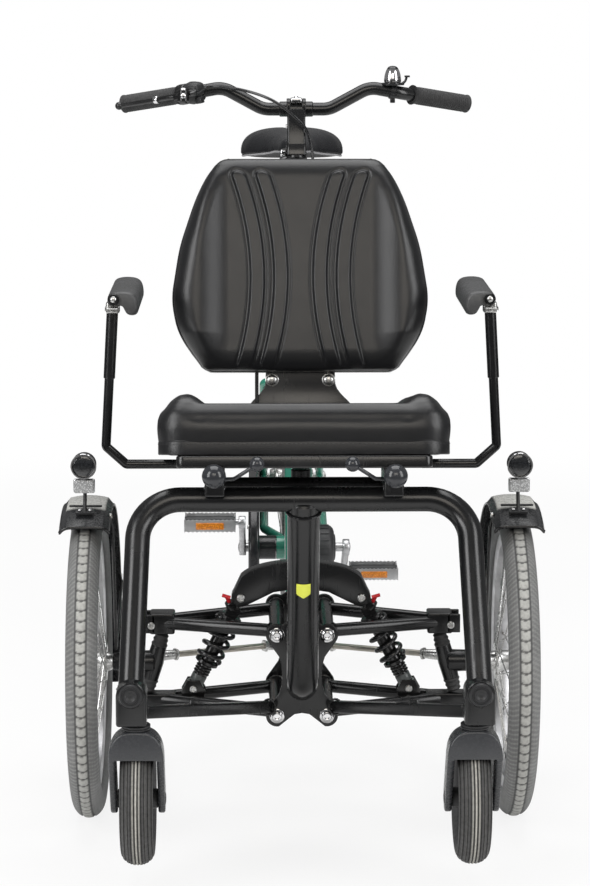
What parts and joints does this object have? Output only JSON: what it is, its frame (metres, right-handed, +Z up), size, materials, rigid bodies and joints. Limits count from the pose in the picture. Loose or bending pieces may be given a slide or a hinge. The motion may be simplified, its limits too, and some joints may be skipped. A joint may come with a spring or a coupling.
{
  "type": "wheelchair bicycle",
  "caption": "Three-wheeled cycle with a padded passenger seat between two sprung, steered front wheels, raised castors, and a cycle's saddle, cranks and rear wheel behind.",
  "frame": {"origin": "middle of the bounding box's bottom, on the floor", "axes": "+Z up, the passenger faces -Y, +X is the cyclist's left"},
  "size_m": [0.782, 2.071, 1.1962],
  "materials": {
    "black_paint": "gloss black paint",
    "green_paint": "gloss green paint",
    "bright_steel": "bright zinc and polished steel",
    "chrome": "polished chrome",
    "grey_tyre": "dull grey tyre rubber",
    "castor_tyre": "dull dark rubber",
    "black_plastic": "moulded black plastic",
    "grip_rubber": "soft ribbed grip rubber",
    "black_upholstery": "black grained upholstery with a soft sheen",
    "grey_foam": "dark grey moulded foam"
  },
  "bodies": {
    "frame": {"front_frame": "black_paint", "spine": "black_paint", "rear_frame": "green_paint", "drive_unit": "black_plastic", "chain_case": "black_plastic", "rear_mudguard": "black_paint", "saddle": "black_upholstery", "saddle_post": "bright_steel", "seat_plate": "black_paint", "seat_cushion": "black_upholstery", "clamp_knob_left": "black_plastic", "clamp_knob_right": "black_plastic", "backrest_cushion": "black_upholstery", "backrest_shell": "black_plastic", "backrest_bracket": "black_paint", "wishbone_upper_left": "black_paint", "wishbone_upper_right": "black_paint", "wishbone_lower_left": "black_paint", "wishbone_lower_right": "black_paint", "damper_left": "black_paint", "damper_right": "black_paint", "spring_left": "black_paint", "spring_right": "black_paint", "armrest_left": "black_paint", "armrest_right": "black_paint", "armrest_pad_left": "grey_foam", "armrest_pad_right": "grey_foam"},
    "steering": {"steering_column": "black_paint", "handlebar": "black_paint", "grip_left": "grip_rubber", "grip_right": "grip_rubber", "brake_lever": "chrome", "bell": "chrome"},
    "rear_wheel": {"rear_tyre": "grey_tyre", "rear_wheel": "bright_steel"},
    "cranks": {"crankset": "bright_steel"},
    "knuckle_left": {"knuckle_left": "black_paint", "mudguard_left": "black_paint", "lamp_left": "black_plastic"},
    "tie_rod_left": {"tie_rod_left": "bright_steel"},
    "wheel_left": {"tyre_left": "grey_tyre", "wheel_left": "bright_steel"},
    "castor_fork_left": {"castor_fork_left": "black_plastic"},
    "castor_wheel_left": {"castor_tyre_left": "castor_tyre", "castor_hub_left": "black_plastic"},
    "pedal_left": {"pedal_left": "bright_steel"},
    "knuckle_right": {"knuckle_right": "black_paint", "mudguard_right": "black_paint", "lamp_right": "black_plastic"},
    "tie_rod_right": {"tie_rod_right": "bright_steel"},
    "wheel_right": {"tyre_right": "grey_tyre", "wheel_right": "bright_steel"},
    "castor_fork_right": {"castor_fork_right": "black_plastic"},
    "castor_wheel_right": {"castor_tyre_right": "castor_tyre", "castor_hub_right": "black_plastic"},
    "pedal_right": {"pedal_right": "bright_steel"}
  },
  "joints": [
    {"name": "steering_turn", "type": "hinge", "parent": "frame", "child": "steering", "pos_m": [0, -0.3505, 0.222], "axis": [0, 0.3667, 0.9304], "range_deg": [-34, 34]},
    {"name": "knuckle_turn_left", "type": "hinge", "parent": "frame", "child": "knuckle_left", "pos_m": [0.23874, -0.5505, 0.253], "axis": [-0.2545, 0, 0.9671], "range_deg": [-18.6, 18.6]},
    {"name": "tie_rod_turn_left", "type": "hinge", "parent": "steering", "child": "tie_rod_left", "pos_m": [0.0184, -0.30296, 0.20326], "axis": [-0.0619, 0.3404, 0.9382], "range_deg": [-36.4, 36.4]},
    {"name": "wheel_roll_left", "type": "hinge", "parent": "knuckle_left", "child": "wheel_left", "pos_m": [0.345, -0.5505, 0.253], "axis": [1, 0, 0], "continuous": true},
    {"name": "castor_swivel_left", "type": "hinge", "parent": "frame", "child": "castor_fork_left", "pos_m": [0.251, -0.9855, 0.262], "axis": [0, 0, 1], "continuous": true},
    {"name": "castor_roll_left", "type": "hinge", "parent": "castor_fork_left", "child": "castor_wheel_left", "pos_m": [0.251, -0.9355, 0.14], "axis": [1, 0, 0], "continuous": true},
    {"name": "knuckle_turn_right", "type": "hinge", "parent": "frame", "child": "knuckle_right", "pos_m": [-0.23874, -0.5505, 0.253], "axis": [0.2545, 0, 0.9671], "range_deg": [-18.6, 18.6]},
    {"name": "tie_rod_turn_right", "type": "hinge", "parent": "steering", "child": "tie_rod_right", "pos_m": [-0.0184, -0.30296, 0.20326], "axis": [0.0619, 0.3404, 0.9382], "range_deg": [-36.4, 36.4]},
    {"name": "wheel_roll_right", "type": "hinge", "parent": "knuckle_right", "child": "wheel_right", "pos_m": [-0.345, -0.5505, 0.253], "axis": [1, 0, 0], "continuous": true},
    {"name": "castor_swivel_right", "type": "hinge", "parent": "frame", "child": "castor_fork_right", "pos_m": [-0.251, -0.9855, 0.262], "axis": [0, 0, 1], "continuous": true},
    {"name": "castor_roll_right", "type": "hinge", "parent": "castor_fork_right", "child": "castor_wheel_right", "pos_m": [-0.251, -0.9355, 0.14], "axis": [1, 0, 0], "continuous": true},
    {"name": "rear_wheel_roll", "type": "hinge", "parent": "frame", "child": "rear_wheel", "pos_m": [0, 0.7095, 0.326], "axis": [1, 0, 0], "continuous": true},
    {"name": "cranks_turn", "type": "hinge", "parent": "frame", "child": "cranks", "pos_m": [0, 0.2495, 0.272], "axis": [1, 0, 0], "continuous": true},
    {"name": "pedal_turn_left", "type": "hinge", "parent": "cranks", "child": "pedal_left", "pos_m": [0.1588, 0.3996, 0.19219], "axis": [1, 0, 0], "continuous": true},
    {"name": "pedal_turn_right", "type": "hinge", "parent": "cranks", "child": "pedal_right", "pos_m": [-0.1588, 0.0994, 0.35181], "axis": [1, 0, 0], "continuous": true}
  ],
  "couplings": [
    {"joint": "knuckle_turn_left", "follows": "steering_turn", "ratio": 0.545},
    {"joint": "tie_rod_turn_left", "follows": "steering_turn", "ratio": -1.0652},
    {"joint": "knuckle_turn_right", "follows": "steering_turn", "ratio": 0.545},
    {"joint": "tie_rod_turn_right", "follows": "steering_turn", "ratio": -1.0652}
  ]
}
